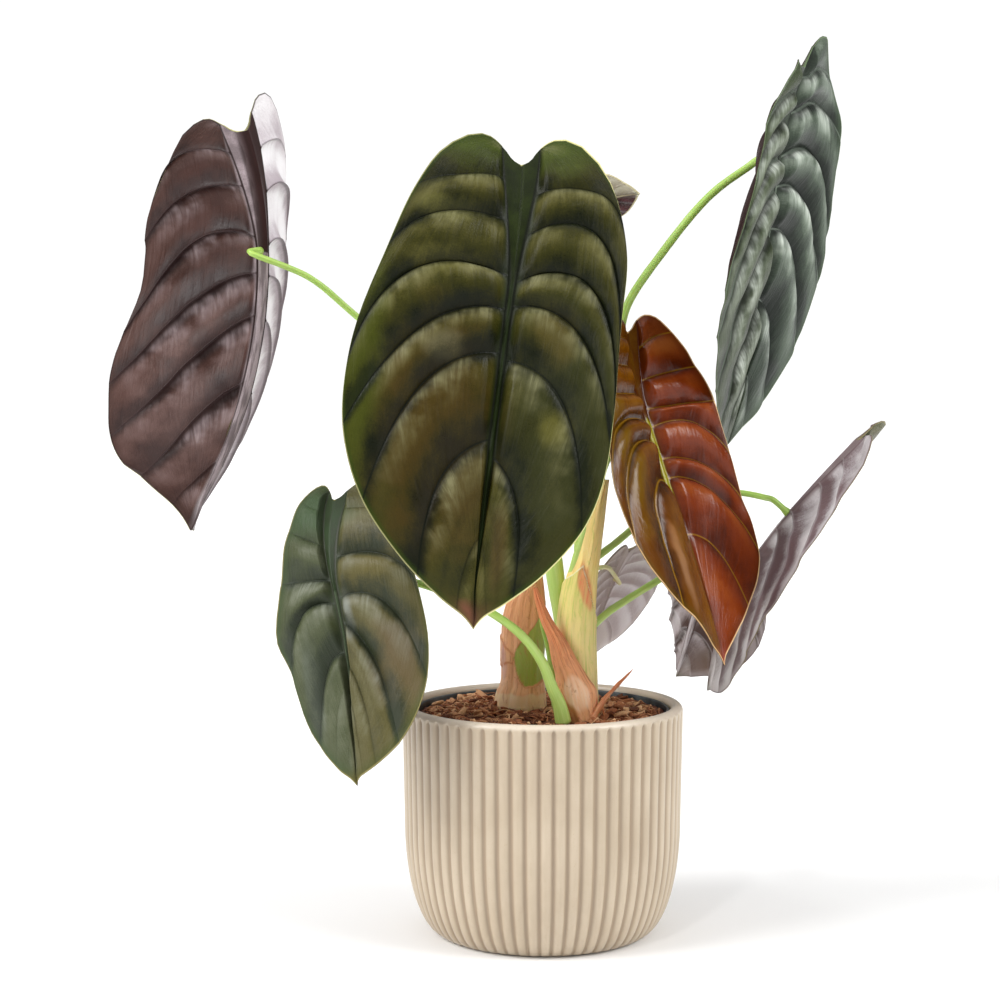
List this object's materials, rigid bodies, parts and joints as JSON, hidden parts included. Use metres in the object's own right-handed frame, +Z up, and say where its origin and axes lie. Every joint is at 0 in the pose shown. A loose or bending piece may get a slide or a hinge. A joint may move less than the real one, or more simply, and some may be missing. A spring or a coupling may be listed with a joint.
{
  "type": "potted house plant",
  "caption": "Potted red secret alocasia: coppery shield-shaped leaves on slender stalks, standing in a ribbed beige ceramic pot.",
  "frame": {"origin": "centre of the ceramic pot's flat base", "axes": "+Z up along the pot's axis, +X to the right and -Y towards the viewer in the picture"},
  "size_m": [0.387, 0.2193, 0.4416],
  "materials": {
    "ceramic": "beige satin glaze over fine vertical ribs",
    "liner": "dark blue-grey plastic, satin",
    "mix": "coarse reddish-brown coconut chips and fibres, dry",
    "blade_olive": "leathery leaf, dark olive with a metallic sheen, dark veins",
    "blade_wine": "leathery leaf, burgundy underside with a silver sheen",
    "blade_grey": "leathery leaf, grey-green upper side",
    "blade_copper": "leathery leaf, glossy coppery red upper side",
    "blade_silver": "leathery leaf, silvery lilac underside with wine patches",
    "stalk": "smooth fresh green stalk, slightly glossy",
    "sheath_pale": "pale cream to yellow-green stem sheath",
    "sheath_brown": "papery peach-brown stem sheath",
    "dry_spike": "dried reddish-brown sheath tip"
  },
  "bodies": {
    "root": {"ceramic_pot": "ceramic", "nursery_pot": "liner", "front_leaf": "blade_olive", "front_leaf_stalk": "stalk", "upper_left_leaf": "blade_wine", "upper_left_leaf_stalk": "stalk", "lower_left_leaf": "blade_grey", "lower_left_leaf_stalk": "stalk", "front_right_leaf": "blade_copper", "front_right_leaf_stalk": "stalk", "upper_right_leaf": "blade_grey", "upper_right_leaf_stalk": "stalk", "right_leaf": "blade_silver", "right_leaf_stalk": "stalk", "lower_right_leaf": "blade_silver", "lower_right_leaf_stalk": "stalk", "rear_leaf": "blade_silver", "rear_leaf_stalk": "stalk", "top_rear_leaf": "blade_wine", "top_rear_leaf_stalk": "stalk", "left_stem": "sheath_brown", "right_stem": "sheath_pale", "front_sheath": "sheath_brown", "dry_spike": "dry_spike", "slim_shoot": "stalk", "potting_mix": "mix"}
  },
  "joints": []
}
